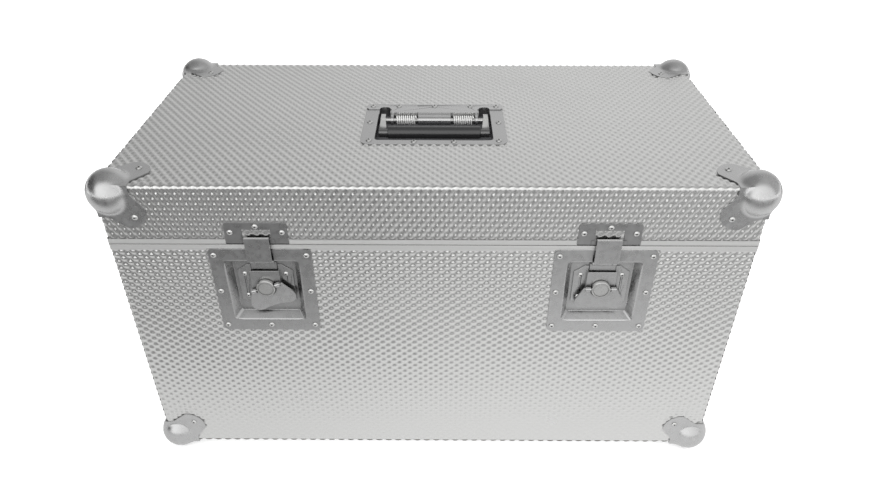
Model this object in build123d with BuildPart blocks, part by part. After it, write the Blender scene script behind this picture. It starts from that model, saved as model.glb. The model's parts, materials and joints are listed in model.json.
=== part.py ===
from build123d import *
import os
from math import cos, pi, radians, sin, sqrt

# Camera case: plywood box clad in embossed aluminium, with ball corners, two recessed
# butterfly latches, a recessed sprung handle and a hinged lid.
# Millimetres. +Z is up, the latches face -Y. The origin is on the ground, under the middle.

os.makedirs("parts", exist_ok=True)

# Case, measured over the skins
case_width = 630.0
case_depth = 318.0
case_height = 350.0
lid_height = 63.8
skin = 0.8
ply = 7.0

# Ball corners: the ball stands out of all three faces and carries the case
ball_radius = 22.0
ball_stand = 11.0
corner_sheet = 1.4
corner_edge = 33.0
petal_reach = 45.0
petal_shoulder = 24.0
petal_tip = 39.5
petal_hollow_r = 5.0
petal_round_r = 3.0
corner_rivet_in = 33.0
corner_sweep = 7.0

# Rivets
rivet_head_r = 3.1
rivet_head_h = 1.5
rivet_shank_r = 1.6
rivet_dimple_r = 1.0
rivet_dimple_depth = 1.0
small_head_r = 2.6
small_head_h = 1.2
small_shank_r = 1.3
small_tail = 0.8

# Closing profiles on the two mouths
rim_leg = 1.0
base_rim_face = 6.8
lid_rim_face = 5.9
base_web = 3.0
lid_web = 3.6
rim_inner_height = 9.0
seam_gap = 0.3
seam_bevel = 0.3
mitre_gap = 0.1
tongue_width = 2.0
tongue_height = 2.0
tongue_clear = 0.3
tongue_stops_short = 26.0

# Foam lining
foam_wall = 15.0
foam_floor = 20.0
foam_top = 25.0
foam_clear = 0.3

# Hinges
hinge_from_side = 115.0
hinge_width = 64.0
hinge_leaf = 1.5
hinge_leaf_height = 34.0
hinge_pin_r = 2.0
hinge_knuckle_r = 4.0
hinge_axis_out = 6.0
hinge_knuckles = 5
hinge_knuckle_gap = 0.3
hinge_rivet_x = 24.0
hinge_rivet_z = 24.0

# Latch dish
latch_from_side = 145.0
dish_width = 102.0
dish_height = 104.0
dish_corner = 6.0
dish_sheet = 1.2
dish_below_mouth = 5.2
dish_rim_gap = 0.2
recess = 74.5
recess_depth = 9.0
recess_draft = 6.0
recess_top_draft = 4.0
recess_corner = 3.0
dish_rivet_x = 45.7
dish_rivet_z = 44.6
cut_clear = 0.5

# Latch mechanism, about the hub's centre
hub_above_dish = 2.7
left_key_turn = 18.8
right_key_turn = 0.0
crank_throw = 3.25
hub_r = 9.5
hub_height = 4.5
hub_chamfer = 0.6
hub_ring = 1.6
hub_hollow = 0.4
spindle_r = 5.0
spindle_tail_r = 4.0
running = 0.05
plate_gap = 0.2
drive_thick = 1.6
drive_width = 26.0
drive_bottom = 16.0
drive_top = 28.0
crank_r = 9.0
crank_thick = 1.2
crank_pin_r = 1.7
bracket_sheet = 1.2
bracket_width = 56.0
bracket_bottom = 20.0
bracket_side_top = 17.5
bracket_top = 25.0
bracket_shoulder = 17.5
channel_top = 19.0
channel_side_gap = 0.6
bracket_rivet_x = 20.9
bracket_rivet_z = 13.7

# Butterfly wing and its cross pin
wing_thick = 1.6
wing_lobe_x = 16.2
wing_lobe_z = 17.0
wing_lobe_r = 8.5
wing_waist = 23.4
wing_ear_x = 16.8
wing_notch_clear = 0.6
wing_knuckle_r = 2.4
wing_pin_r = 1.25
wing_gap = 0.2

# Hook strap, its pin, and the keeper
hook_width = 24.5
hook_thick = 1.8
hook_pin_up = 31.0
hook_pin_out = 4.2
hook_pin_r = 1.2
hook_knuckle_r = 2.6
hook_knuckle_width = 15.2
hook_ear_width = 4.2
hook_side_gap = 0.2
hook_stand = 2.1
hook_lip = 1.2
notch_top = 43.5
notch_side_gap = 1.0
keeper_width = 61.0
keeper_bottom = 1.0
keeper_height = 23.5
keeper_sheet = 1.2
keeper_side_gap = 0.2
keeper_bar = 5.0
keeper_bead = 0.6
keeper_bead_width = 34.0
keeper_window_width = 28.0
keeper_window_height = 11.0
keeper_rivet_x = 25.0
keeper_rivet_up = 13.0
keeper_top_rivet_up = 19.6
lip_clear = 0.4

# Recessed handle in the lid's top
handle_width = 152.0
handle_front = -72.1
handle_back = 26.2
handle_strip_front = 13.0
handle_corner = 8.0
handle_sheet = 1.2
well_width = 123.0
well_front = -63.5
well_back = 4.9
well_depth = 17.0
well_draft = 2.0
well_corner = 4.0
ear_pocket_width = 12.0
ear_pocket_back = 18.4
handle_pin_y = -2.1
handle_pin_below = 4.5
handle_pin_r = 2.5
arm_x = 55.25
arm_width = 7.5
arm_tail_width = 5.0
arm_height = 6.0
arm_tail = 11.0
arm_tail_height = 8.0
grip_y = -34.3
grip_length = 98.8
grip_r = 7.25
grip_bar_r = 4.0
lug_r = 4.8
centre_lug_width = 36.0
end_lug_width = 3.0
strip_leg_width = 96.0
strip_leg_depth = 13.0
strip_rivet_x = 40.0
strip_rivet_side_in = 7.0
strip_rivet_back_in = 6.2
flange_side_rivet_in = 6.5
flange_side_rivet_up = 51.7
flange_corner_rivet_in = 9.0
flange_corner_rivet_up = 7.8
flange_front_rivet_x = 20.5
flange_front_rivet_up = 5.2
spring_coil_r = 4.4
spring_wire_r = 0.8
spring_pitch = 2.3
spring_turns = 9
spring_low_leg = 7.0
spring_top_leg = 5.0

# Places worked out from the sizes above
base_z = ball_stand
seam_z = base_z + case_height - lid_height
top_z = base_z + case_height
front_y = -case_depth / 2
back_y = case_depth / 2
side_x = case_width / 2
wall = skin + ply
hinge_x = side_x - hinge_from_side
latch_x = side_x - latch_from_side
inner_x = side_x - wall
inner_y = back_y - wall
base_mouth_z = seam_z - seam_gap / 2
lid_mouth_z = seam_z + seam_gap / 2
base_panel_top = base_mouth_z - base_web
lid_panel_bottom = lid_mouth_z + lid_web
rim_face_y = back_y + rim_leg
end_lug_x = (strip_leg_width - end_lug_width) / 2
hinge_axis_y = back_y + hinge_axis_out
dish_top_z = base_mouth_z - dish_below_mouth
dish_z = dish_top_z - dish_height / 2
hub_z = dish_z + hub_above_dish
dish_face_y = front_y - dish_sheet
dish_floor_y = dish_face_y + recess_depth
bracket_depth = plate_gap + drive_thick + plate_gap + crank_thick + plate_gap + bracket_sheet
key_turns = {"left": left_key_turn, "right": right_key_turn}
latch_places = {"left": -latch_x, "right": latch_x}
latch_lift = 2 * crank_throw


# The base and the lid have an outline with square corners inside and a sheet's radius outside
def ring(outer_x, outer_y, inner_x_half, inner_y_half, low, high, corner=0.0):
    """Add an upright rectangular ring between two half-size rectangles and two heights."""
    with BuildSketch(Plane.XY.offset(low)) as outline:
        if corner > 0:
            RectangleRounded(2 * outer_x, 2 * outer_y, corner)
        else:
            Rectangle(2 * outer_x, 2 * outer_y)
        Rectangle(2 * inner_x_half, 2 * inner_y_half, mode=Mode.SUBTRACT)
    extrude(outline.sketch, amount=high - low)


def block(low, high, mode=Mode.ADD):
    """Add or cut a box given by its lowest and highest corners."""
    middle = [(a + b) / 2 for a, b in zip(low, high)]
    size = [b - a for a, b in zip(low, high)]
    with Locations(tuple(middle)):
        Box(*size, mode=mode)


# Rivets: the place of each one is a plane on the face it stands on, facing outwards
def faced(x, y, z, outward):
    """A rivet's place: its head's foot is at the point, and it points outwards."""
    across = (1, 0, 0) if abs(outward[0]) < 0.5 else (0, 1, 0)
    return Plane(origin=(x, y, z), x_dir=across, z_dir=outward)


def corner_rivet_places(level_z, upright):
    """The three rivets of each of four corners; upright is +1 for the base, -1 for the lid."""
    places = []
    sheet = corner_sheet
    along_z = level_z + upright * corner_rivet_in
    for sx in (-1, 1):
        for sy in (-1, 1):
            x_in = sx * (side_x - corner_rivet_in)
            y_in = sy * (back_y - corner_rivet_in)
            places.append(faced(x_in, sy * (back_y + sheet), along_z, (0, sy, 0)))
            places.append(faced(sx * (side_x + sheet), y_in, along_z, (sx, 0, 0)))
            places.append(faced(x_in, y_in, level_z - upright * sheet, (0, 0, -upright)))
    return places


base_corner_rivets_at = corner_rivet_places(base_z, 1)
lid_corner_rivets_at = corner_rivet_places(top_z, -1)

dish_rivets_at = [
    faced(x + dx, dish_face_y, dish_z + dz, (0, -1, 0))
    for x in latch_places.values()
    for dx in (-dish_rivet_x, 0, dish_rivet_x)
    for dz in (-dish_rivet_z, 0, dish_rivet_z)
    if dx != 0 or dz < 0
]
bracket_rivets_at = [
    faced(x + dx, dish_floor_y - bracket_sheet, hub_z + dz, (0, -1, 0))
    for x in latch_places.values()
    for dx in (-bracket_rivet_x, bracket_rivet_x)
    for dz in (-bracket_rivet_z, bracket_rivet_z)
]
keeper_z = lid_mouth_z + keeper_bottom
keeper_rivets_at = [
    faced(x + dx, front_y - keeper_sheet, keeper_z + up, (0, -1, 0))
    for x in latch_places.values()
    for dx, up in (
        (-keeper_rivet_x, keeper_rivet_up),
        (keeper_rivet_x, keeper_rivet_up),
        (0, keeper_top_rivet_up),
    )
]


def hinge_rivet_places(side):
    """Three rivets in a leaf; side is -1 below the seam and +1 above it."""
    places = []
    for x in (-hinge_x, hinge_x):
        for dx, dz in ((-hinge_rivet_x, 16.0), (hinge_rivet_x, 16.0), (0, hinge_rivet_z + 4)):
            places.append(faced(x + dx, rim_face_y + hinge_leaf, seam_z + side * dz, (0, 1, 0)))
    return places


base_hinge_rivets_at = hinge_rivet_places(-1)
lid_hinge_rivets_at = hinge_rivet_places(1)

dish_flange_z = top_z + handle_sheet
strip_z = dish_flange_z + handle_sheet
strip_rivet_y = handle_back - strip_rivet_back_in
strip_side_x = handle_width / 2 - strip_rivet_side_in
handle_strip_rivets_at = [
    faced(x, strip_rivet_y, strip_z, (0, 0, 1))
    for x in (-strip_side_x, -strip_rivet_x, 0, strip_rivet_x, strip_side_x)
]
flange_rivet_spots = (
    (handle_width / 2 - flange_side_rivet_in, handle_front + flange_side_rivet_up),
    (handle_width / 2 - flange_corner_rivet_in, handle_front + flange_corner_rivet_up),
    (flange_front_rivet_x, handle_front + flange_front_rivet_up),
)
handle_flange_rivets_at = [
    faced(x, y, dish_flange_z, (0, 0, 1)) for dx, y in flange_rivet_spots for x in (-dx, dx)
]

base_rivets_at = base_corner_rivets_at + dish_rivets_at + base_hinge_rivets_at
lid_rivets_at = (
    lid_corner_rivets_at
    + keeper_rivets_at
    + lid_hinge_rivets_at
    + handle_strip_rivets_at
    + handle_flange_rivets_at
)


def drill(places, shank_r=rivet_shank_r):
    """Cut the rivets' holes through the piece that is being built."""
    with Locations(*places):
        Cylinder(shank_r, 4 * wall, mode=Mode.SUBTRACT)


def rivet(head_r, head_h, shank_r, shank):
    """A dome rivet with a dimple, standing on its own XY plane."""
    with BuildPart() as made:
        with BuildSketch(Plane.XZ):
            with BuildLine():
                Line((0, -shank), (shank_r, -shank))
                Line((shank_r, -shank), (shank_r, 0))
                Line((shank_r, 0), (head_r, 0))
                Line((head_r, 0), (head_r, 0.2))
                ThreePointArc((head_r, 0.2), (head_r * 0.72, head_h * 0.72), (rivet_dimple_r, head_h))
                Line((rivet_dimple_r, head_h), (rivet_dimple_r, head_h - rivet_dimple_depth))
                Line((rivet_dimple_r, head_h - rivet_dimple_depth), (0, head_h - rivet_dimple_depth))
                Line((0, head_h - rivet_dimple_depth), (0, -shank))
            make_face()
        revolve(axis=Axis.Z)
    return made.part


# Corner rivets pass petal, skin and panel; the others start on a flange of another thickness
with BuildPart() as base_rivets:
    with Locations(*base_corner_rivets_at):
        add(rivet(rivet_head_r, rivet_head_h, rivet_shank_r, corner_sheet + wall))
    with Locations(*dish_rivets_at):
        add(rivet(rivet_head_r, rivet_head_h, rivet_shank_r, dish_sheet + wall))
    with Locations(*base_hinge_rivets_at):
        add(rivet(rivet_head_r, rivet_head_h, rivet_shank_r, hinge_leaf + rim_leg + wall))
base_rivets.part.label = "base_rivets"
export_step(base_rivets.part, "parts/base_rivets.step")

with BuildPart() as lid_rivets:
    with Locations(*lid_corner_rivets_at):
        add(rivet(rivet_head_r, rivet_head_h, rivet_shank_r, corner_sheet + wall))
    with Locations(*keeper_rivets_at):
        add(rivet(rivet_head_r, rivet_head_h, rivet_shank_r, keeper_sheet + wall))
    with Locations(*lid_hinge_rivets_at):
        add(rivet(rivet_head_r, rivet_head_h, rivet_shank_r, hinge_leaf + rim_leg + wall))
    with Locations(*handle_strip_rivets_at):
        add(rivet(rivet_head_r, rivet_head_h, rivet_shank_r, 2 * handle_sheet + wall))
    with Locations(*handle_flange_rivets_at):
        add(rivet(rivet_head_r, rivet_head_h, rivet_shank_r, handle_sheet + wall))
lid_rivets.part.label = "lid_rivets"
export_step(lid_rivets.part, "parts/lid_rivets.step")

with BuildPart() as bracket_rivets:
    with Locations(*bracket_rivets_at):
        add(rivet(small_head_r, small_head_h, small_shank_r, bracket_sheet + dish_sheet + small_tail))
bracket_rivets.part.label = "latch_bracket_rivets"
export_step(bracket_rivets.part, "parts/latch_bracket_rivets.step")


# Cut-outs in skin, panel and foam behind the two latch dishes
def latch_cutouts(clear, inward_from, inward_to):
    """Cut the pan of each dish and its hook slot, with a clearance all round."""
    half = recess / 2 + dish_sheet + clear
    slot = hook_width / 2 + notch_side_gap + dish_sheet + clear
    for x in latch_places.values():
        block((x - half, inward_from, dish_z - half), (x + half, inward_to, dish_z + half), Mode.SUBTRACT)
        slot_top = hub_z + notch_top + dish_sheet + clear
        block((x - slot, inward_from, dish_z), (x + slot, inward_to, slot_top), Mode.SUBTRACT)


# Base panels: front and back run the full width, the sides stand between them
with BuildPart() as base_panel_front:
    block((-side_x + skin, front_y + skin, base_z + skin), (side_x - skin, front_y + wall, base_panel_top))
    latch_cutouts(cut_clear, front_y, front_y + 2 * wall)
    drill(base_rivets_at)
base_panel_front.part.label = "base_panel_front"
export_step(base_panel_front.part, "parts/base_panel_front.step")

with BuildPart() as base_panel_back:
    block((-side_x + skin, back_y - wall, base_z + skin), (side_x - skin, back_y - skin, base_panel_top))
    drill(base_rivets_at)
base_panel_back.part.label = "base_panel_back"
export_step(base_panel_back.part, "parts/base_panel_back.step")

with BuildPart() as base_panel_left:
    block((-side_x + skin, -inner_y, base_z + skin), (-inner_x, inner_y, base_panel_top))
    drill(base_rivets_at)
base_panel_left.part.label = "base_panel_left"
export_step(base_panel_left.part, "parts/base_panel_left.step")

with BuildPart() as base_panel_right:
    block((inner_x, -inner_y, base_z + skin), (side_x - skin, inner_y, base_panel_top))
    drill(base_rivets_at)
base_panel_right.part.label = "base_panel_right"
export_step(base_panel_right.part, "parts/base_panel_right.step")

with BuildPart() as base_panel_bottom:
    block((-inner_x, -inner_y, base_z + skin), (inner_x, inner_y, base_z + wall))
    drill(base_rivets_at)
base_panel_bottom.part.label = "base_panel_bottom"
export_step(base_panel_bottom.part, "parts/base_panel_bottom.step")

# Base skin: one folded tray of sheet round the panels
with BuildPart() as base_skin:
    with BuildSketch(Plane.XY.offset(base_z)):
        RectangleRounded(case_width, case_depth, skin)
    extrude(amount=base_panel_top - base_z)
    block(
        (-side_x + skin, front_y + skin, base_z + skin),
        (side_x - skin, back_y - skin, base_panel_top),
        Mode.SUBTRACT,
    )
    latch_cutouts(cut_clear, front_y - skin, front_y + 2 * skin)
    drill(base_rivets_at)
base_skin.part.label = "base_skin"
export_step(base_skin.part, "parts/base_skin.step")


# Closing profiles: outer leg, web and inner leg round the mouth, cut into four mitred lengths
def mitres(low, high):
    """Part the ring into four lengths at its mitred corners."""
    for sx in (-1, 1):
        for sy in (-1, 1):
            at = (sx * side_x, sy * back_y, (low + high) / 2)
            with Locations(Location(at, (0, 0, 45 * sx * sy))):
                Box(8 * wall, mitre_gap, 2 * (high - low), mode=Mode.SUBTRACT)


def tongue_path(width, stop_y, low, high, mode):
    """A strip along the front and both sides of the web's middle line."""
    middle_in = (rim_leg + wall + rim_leg) / 2 - rim_leg
    x = side_x - middle_in
    y = back_y - middle_in
    half = width / 2
    block((-x - half, -y - half, low), (x + half, -y + half, high), mode)
    for sx in (-1, 1):
        block((sx * x - half, -y - half, low), (sx * x + half, stop_y, high), mode)


outer_x = side_x + rim_leg
outer_y = back_y + rim_leg
with BuildPart() as base_rim:
    ring(outer_x, outer_y, side_x, back_y, base_mouth_z - base_rim_face, base_mouth_z, 2 * rim_leg)
    ring(outer_x, outer_y, inner_x - rim_leg, inner_y - rim_leg, base_panel_top, base_mouth_z, 2 * rim_leg)
    base_leg_low = base_mouth_z - rim_inner_height
    ring(inner_x, inner_y, inner_x - rim_leg, inner_y - rim_leg, base_leg_low, base_mouth_z)
    chamfer(base_rim.faces().sort_by(Axis.Z)[-1].outer_wire().edges(), seam_bevel)
    tongue_stop = back_y - tongue_stops_short
    tongue_path(tongue_width, tongue_stop, base_mouth_z, base_mouth_z + tongue_height, Mode.ADD)
    dish_slot = dish_width / 2 + dish_rim_gap
    for x in latch_places.values():
        slot_low = base_mouth_z - base_rim_face
        slot_high = dish_top_z + dish_rim_gap
        block((x - dish_slot, -outer_y, slot_low), (x + dish_slot, front_y, slot_high), Mode.SUBTRACT)
    mitres(base_leg_low, base_mouth_z)
base_rim.part.label = "base_rim"
export_step(base_rim.part, "parts/base_rim.step")

with BuildPart() as lid_rim:
    ring(outer_x, outer_y, side_x, back_y, lid_mouth_z, lid_mouth_z + lid_rim_face, 2 * rim_leg)
    ring(outer_x, outer_y, inner_x - rim_leg, inner_y - rim_leg, lid_mouth_z, lid_panel_bottom, 2 * rim_leg)
    lid_leg_high = lid_mouth_z + rim_inner_height
    ring(inner_x, inner_y, inner_x - rim_leg, inner_y - rim_leg, lid_mouth_z, lid_leg_high)
    chamfer(lid_rim.faces().sort_by(Axis.Z)[0].outer_wire().edges(), seam_bevel)
    groove_width = tongue_width + 2 * tongue_clear
    groove_stop = tongue_stop + 4 * tongue_clear
    groove_top = base_mouth_z + tongue_height + tongue_clear
    tongue_path(groove_width, groove_stop, lid_mouth_z, groove_top, Mode.SUBTRACT)
    keeper_slot = keeper_width / 2 + keeper_side_gap
    for x in latch_places.values():
        slot_high = lid_mouth_z + lid_rim_face
        block((x - keeper_slot, -outer_y, lid_mouth_z), (x + keeper_slot, front_y, slot_high), Mode.SUBTRACT)
    mitres(lid_mouth_z, lid_leg_high)
lid_rim.part.label = "lid_rim"
export_step(lid_rim.part, "parts/lid_rim.step")


# Ball corners: three leaf petals and a hollow ball pressed from one sheet, with a soft foot
def petal(plane, inward_j):
    """Sketch a petal on a face; the plane's x runs inwards along the first edge."""
    flip = 1 if plane.y_dir.dot(Vector(*inward_j)) > 0 else -1
    start = -corner_sheet
    outline = [
        (start, start),
        (corner_edge, start),
        (corner_edge, corner_edge * 0.25),
        (petal_reach, petal_shoulder),
        (petal_tip, petal_tip),
        (petal_shoulder, petal_reach),
        (corner_edge * 0.25, corner_edge),
        (start, corner_edge),
    ]
    points = [(u, v * flip) for u, v in outline]
    with BuildSketch(plane) as leaf:
        with BuildLine():
            Polyline(*points[:4])
            ThreePointArc(points[3], points[4], points[5])
            Polyline(*points[5:], points[0])
        make_face()
        for reach, radius in ((points[2], petal_hollow_r), (points[3], petal_round_r)):
            far = Vector(*reach).length
            fillet([v for v in leaf.vertices() if abs(Vector(v.X, v.Y).length - far) < 0.01], radius)
    return leaf.sketch


def corner_piece(sx, sy, upright, level_z):
    """One corner; sx and sy point from the middle to it, upright is +1 below and -1 above."""
    vertex = (sx * side_x, sy * back_y, level_z)
    inward = [(-sx, 0, 0), (0, -sy, 0), (0, 0, upright)]
    ball_at = [v + ball_stand * sum(d[i] for d in inward) for i, v in enumerate(vertex)]
    with BuildPart() as made:
        for k in range(3):
            i, j = [n for n in range(3) if n != k]
            outward = tuple(-c for c in inward[k])
            face = Plane(origin=vertex, x_dir=inward[i], z_dir=outward)
            extrude(petal(face, inward[j]), amount=corner_sheet)
        with Locations(tuple(ball_at)):
            Sphere(ball_radius)
        far = [v + 3 * ball_radius * sum(d[i] for d in inward) for i, v in enumerate(vertex)]
        edges = [sorted(pair) for pair in zip(vertex, far)]
        block([low for low, high in edges], [high for low, high in edges], Mode.SUBTRACT)
        foot_r = sqrt(ball_radius**2 - (ball_stand + corner_sheet) ** 2)
        feet = [e for e in made.edges().filter_by(GeomType.CIRCLE) if abs(e.radius - foot_r) < 0.01]
        fillet(feet, corner_sweep)
        with Locations(tuple(ball_at)):
            Sphere(ball_radius - corner_sheet, mode=Mode.SUBTRACT)
        drill(base_corner_rivets_at if upright > 0 else lid_corner_rivets_at)
    return made.part


for half_name, upright, level_z in (("base", 1, base_z), ("lid", -1, top_z)):
    for y_name, sy in (("front", -1), ("back", 1)):
        for x_name, sx in (("left", -1), ("right", 1)):
            corner = corner_piece(sx, sy, upright, level_z)
            corner.label = f"{half_name}_corner_{y_name}_{x_name}"
            export_step(corner, f"parts/{corner.label}.step")

# Foam lining of the base: a floor pad and four wall pads
pad_x = inner_x - foam_clear
pad_y = inner_y - foam_clear
pad_low = base_z + wall + foam_clear
pad_high = base_mouth_z - rim_inner_height - foam_clear
with BuildPart() as base_foam:
    block((-pad_x, -pad_y, pad_low), (pad_x, pad_y, pad_low + foam_floor))
    wall_low = pad_low + foam_floor + foam_clear
    for sy in (-1, 1):
        y_edges = sorted((sy * pad_y, sy * (pad_y - foam_wall)))
        block((-pad_x, y_edges[0], wall_low), (pad_x, y_edges[1], pad_high))
    for sx in (-1, 1):
        x_edges = sorted((sx * pad_x, sx * (pad_x - foam_wall)))
        y_reach = pad_y - foam_wall - foam_clear
        block((x_edges[0], -y_reach, wall_low), (x_edges[1], y_reach, pad_high))
    latch_cutouts(2 * cut_clear, front_y, dish_floor_y + dish_sheet + small_tail + foam_clear)
base_foam.part.label = "base_foam"
export_step(base_foam.part, "parts/base_foam.step")


# Handle well: a rectangle with a rounded pocket behind each arm
def well_sketch(plane, grow):
    """The well's plan with its two ear pockets, grown by an amount all round."""
    pocket_r = ear_pocket_width / 2 + grow
    pocket_y = ear_pocket_back - ear_pocket_width / 2
    with BuildSketch(plane) as plan:
        with Locations((0, (well_front + well_back) / 2)):
            RectangleRounded(
                well_width + 2 * grow, well_back - well_front + 2 * grow, well_corner + grow
            )
        for sx in (-1, 1):
            with Locations((sx * arm_x, pocket_y)):
                Circle(pocket_r)
            with Locations((sx * arm_x, pocket_y / 2)):
                Rectangle(2 * pocket_r, pocket_y)
    return plan.sketch


# Lid panels and skin
with BuildPart() as lid_panel_top:
    block((-inner_x, -inner_y, top_z - wall), (inner_x, inner_y, top_z - skin))
    well_hole = well_sketch(Plane.XY.offset(top_z), handle_sheet + cut_clear)
    extrude(well_hole, amount=-2 * wall, mode=Mode.SUBTRACT)
    drill(lid_rivets_at)
lid_panel_top.part.label = "lid_panel_top"
export_step(lid_panel_top.part, "parts/lid_panel_top.step")

for name, sy in (("front", -1), ("back", 1)):
    y_edges = sorted((sy * inner_y, sy * (back_y - skin)))
    with BuildPart() as lid_wall:
        block((-side_x + skin, y_edges[0], lid_panel_bottom), (side_x - skin, y_edges[1], top_z - skin))
        drill(lid_rivets_at)
    lid_wall.part.label = f"lid_panel_{name}"
    export_step(lid_wall.part, f"parts/lid_panel_{name}.step")

for name, sx in (("left", -1), ("right", 1)):
    x_edges = sorted((sx * inner_x, sx * (side_x - skin)))
    with BuildPart() as lid_wall:
        block((x_edges[0], -inner_y, lid_panel_bottom), (x_edges[1], inner_y, top_z - skin))
        drill(lid_rivets_at)
    lid_wall.part.label = f"lid_panel_{name}"
    export_step(lid_wall.part, f"parts/lid_panel_{name}.step")

with BuildPart() as lid_skin:
    with BuildSketch(Plane.XY.offset(lid_panel_bottom)):
        RectangleRounded(case_width, case_depth, skin)
    extrude(amount=top_z - lid_panel_bottom)
    block(
        (-side_x + skin, front_y + skin, lid_panel_bottom),
        (side_x - skin, back_y - skin, top_z - skin),
        Mode.SUBTRACT,
    )
    extrude(well_hole, amount=-2 * skin, mode=Mode.SUBTRACT)
    drill(lid_rivets_at)
lid_skin.part.label = "lid_skin"
export_step(lid_skin.part, "parts/lid_skin.step")

# Lid foam: one pad against the top, relieved for the handle well
well_floor_z = dish_flange_z - well_depth
with BuildPart() as lid_foam:
    pad_top = top_z - wall - foam_clear
    block((-pad_x, -pad_y, pad_top - foam_top), (pad_x, pad_y, pad_top))
    relief_z = well_floor_z - handle_sheet - cut_clear
    relief = well_sketch(Plane.XY.offset(relief_z), handle_sheet + 2 * cut_clear)
    extrude(relief, amount=2 * wall, mode=Mode.SUBTRACT)
lid_foam.part.label = "lid_foam"
export_step(lid_foam.part, "parts/lid_foam.step")

# Latches: everything on one latch is drawn on a plane at the hub's centre that faces outwards,
# its x to the right, its y up and its z out of the case, counted from the dish's floor
web_front = bracket_depth
wing_back = web_front + wing_gap
wing_axis_out = wing_back + wing_knuckle_r
drive_back = plate_gap
drive_front = drive_back + drive_thick
crank_back = drive_front + plate_gap
crank_front = crank_back + crank_thick
flange_front = recess_depth
case_face = recess_depth - dish_sheet
hook_inner = flange_front + hook_stand
seam_up = lid_mouth_z - hub_z
bar_top = seam_up + keeper_bottom + keeper_bar
lip_low = bar_top + lip_clear
hook_top = lip_low + hook_thick


def latch_plane(side, out=0.0, turn=0.0, up=0.0):
    """A plane at a latch's hub, some way out from the dish's floor, turned and raised."""
    across = (cos(radians(turn)), 0, sin(radians(turn)))
    return Plane(origin=(latch_places[side], dish_floor_y - out, hub_z + up), x_dir=across, z_dir=(0, -1, 0))


def slab(plane, x_edges, y_edges, thick, mode=Mode.ADD):
    """Extrude a rectangle between two edges each way from a plane."""
    middle = ((x_edges[0] + x_edges[1]) / 2, (y_edges[0] + y_edges[1]) / 2)
    with BuildSketch(plane) as outline:
        with Locations(middle):
            Rectangle(x_edges[1] - x_edges[0], y_edges[1] - y_edges[0])
    extrude(outline.sketch, amount=thick, mode=mode)


def disc(plane, radius, thick, at=(0, 0), mode=Mode.ADD):
    """Extrude a circle from a plane."""
    with BuildSketch(plane) as outline:
        with Locations(at):
            Circle(radius)
    extrude(outline.sketch, amount=thick, mode=mode)


def pan(side, grow, out_low, out_high, mode):
    """The dish's tapering pan, from its floor to its mouth, grown by an amount all round."""
    half = recess / 2
    centre = -hub_above_dish
    floor_high = centre + half - recess_top_draft
    floor_low = centre - half + recess_draft
    floor_half = half - recess_draft
    with BuildSketch(latch_plane(side, out_low)) as pan_floor:
        with Locations((0, (floor_high + floor_low) / 2)):
            RectangleRounded(
                2 * (floor_half + grow), floor_high - floor_low + 2 * grow, recess_corner + grow
            )
    with BuildSketch(latch_plane(side, out_high)) as pan_mouth:
        with Locations((0, centre)):
            RectangleRounded(2 * (half + grow), 2 * (half + grow), recess_corner + grow)
    loft([pan_floor.sketch, pan_mouth.sketch], mode=mode)


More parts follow.
